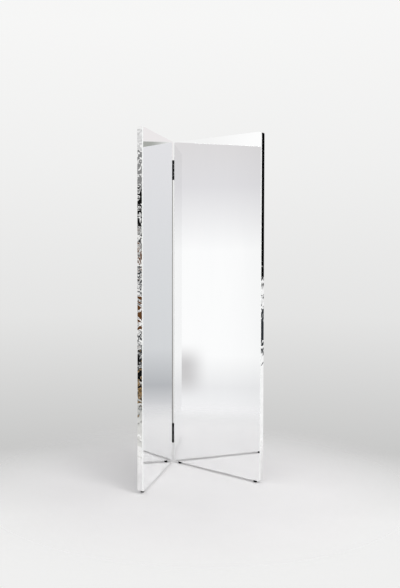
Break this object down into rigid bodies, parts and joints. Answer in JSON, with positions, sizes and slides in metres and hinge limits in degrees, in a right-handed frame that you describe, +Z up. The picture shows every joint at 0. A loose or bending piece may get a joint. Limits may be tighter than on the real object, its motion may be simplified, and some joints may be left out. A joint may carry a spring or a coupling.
{
  "type": "folding floor mirror",
  "caption": "Tall folding floor mirror: full-length frameless mirror panels with polished edges, hinged along one upright edge and standing in a V on small rubber feet.",
  "frame": {"origin": "middle of the part's outline at floor level", "axes": "+Z up, -Y out of the open side of the V towards the viewer, +X to the viewer's right"},
  "size_m": [0.6684, 0.5138, 1.8],
  "materials": {
    "band": "mirror-polished stainless steel",
    "mirror": "silvered float glass",
    "tape": "foam tape",
    "board": "raw fibreboard",
    "back": "brushed",
    "fixings": "zinc-plated",
    "hinge": "satin black",
    "foot": "matt black",
    "brass": "machined"
  },
  "bodies": {
    "right_panel": {"right_edge_band": "band", "right_mirror_glass": "mirror", "right_mirror_tape": "tape", "right_backing_board": "board", "right_back_panel": "back", "right_back_screws": "fixings", "right_upper_nut_plate": "fixings", "right_lower_nut_plate": "fixings", "right_foot_inserts": "brass", "right_foot_studs": "fixings", "right_outer_foot": "foot", "upper_hinge_right_leaf": "hinge", "upper_hinge_right_screws": "hinge", "lower_hinge_right_leaf": "hinge", "lower_hinge_right_screws": "hinge", "right_hinge_foot": "foot", "upper_hinge_pin": "hinge", "upper_hinge_washers": "fixings", "lower_hinge_pin": "hinge", "lower_hinge_washers": "fixings"},
    "left_panel": {"left_edge_band": "band", "left_mirror_glass": "mirror", "left_mirror_tape": "tape", "left_backing_board": "board", "left_back_panel": "back", "left_back_screws": "fixings", "left_upper_nut_plate": "fixings", "left_lower_nut_plate": "fixings", "left_foot_inserts": "brass", "left_foot_studs": "fixings", "left_outer_foot": "foot", "upper_hinge_left_leaf": "hinge", "upper_hinge_left_screws": "hinge", "lower_hinge_left_leaf": "hinge", "lower_hinge_left_screws": "hinge"}
  },
  "joints": [
    {"name": "fold", "type": "hinge", "parent": "right_panel", "child": "left_panel", "pos_m": [0, 0.24422, 0.9065], "axis": [0, 0, -1], "range_deg": [-63, 117]}
  ]
}
